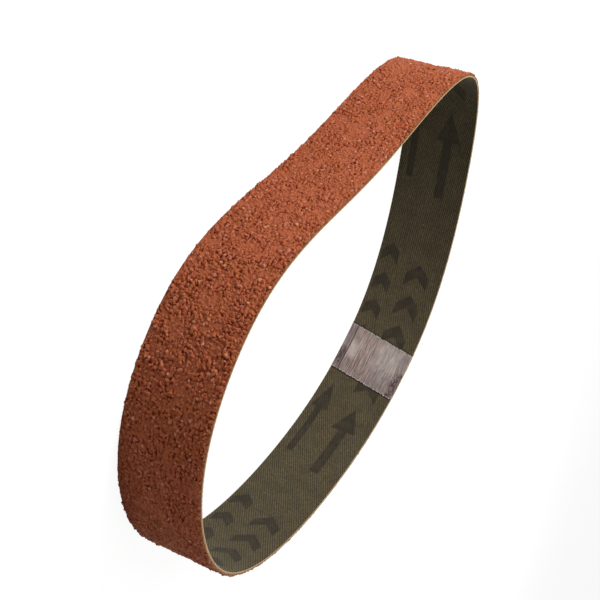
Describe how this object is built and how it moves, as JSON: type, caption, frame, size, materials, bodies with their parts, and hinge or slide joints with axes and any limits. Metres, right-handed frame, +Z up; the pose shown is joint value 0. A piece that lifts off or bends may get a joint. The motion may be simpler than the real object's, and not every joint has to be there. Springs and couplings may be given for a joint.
{
  "type": "sanding belt",
  "caption": "Endless narrow sanding belt standing on its edge: stiff cloth loop with a coarse abrasive coat outside and a slanting taped joint inside.",
  "frame": {"origin": "on the surface that the belt stands on, under the middle of its bounding box", "axes": "+X along the loop's long way, towards its wide end; +Y towards the run with the taped joint; +Z up, across the belt's width"},
  "size_m": [0.2065, 0.1322, 0.03],
  "materials": {
    "abrasive": "coarse red-brown aluminium oxide grain in resin, matt with small bright points",
    "cloth": "heavy olive-brown twill cloth, resin filled, matt",
    "tape": "thin grey-mauve joint tape with fine lengthwise filaments, satin"
  },
  "bodies": {
    "root": {"abrasive_coat": "abrasive", "cloth_backing": "cloth", "splice_tape": "tape"}
  },
  "joints": []
}
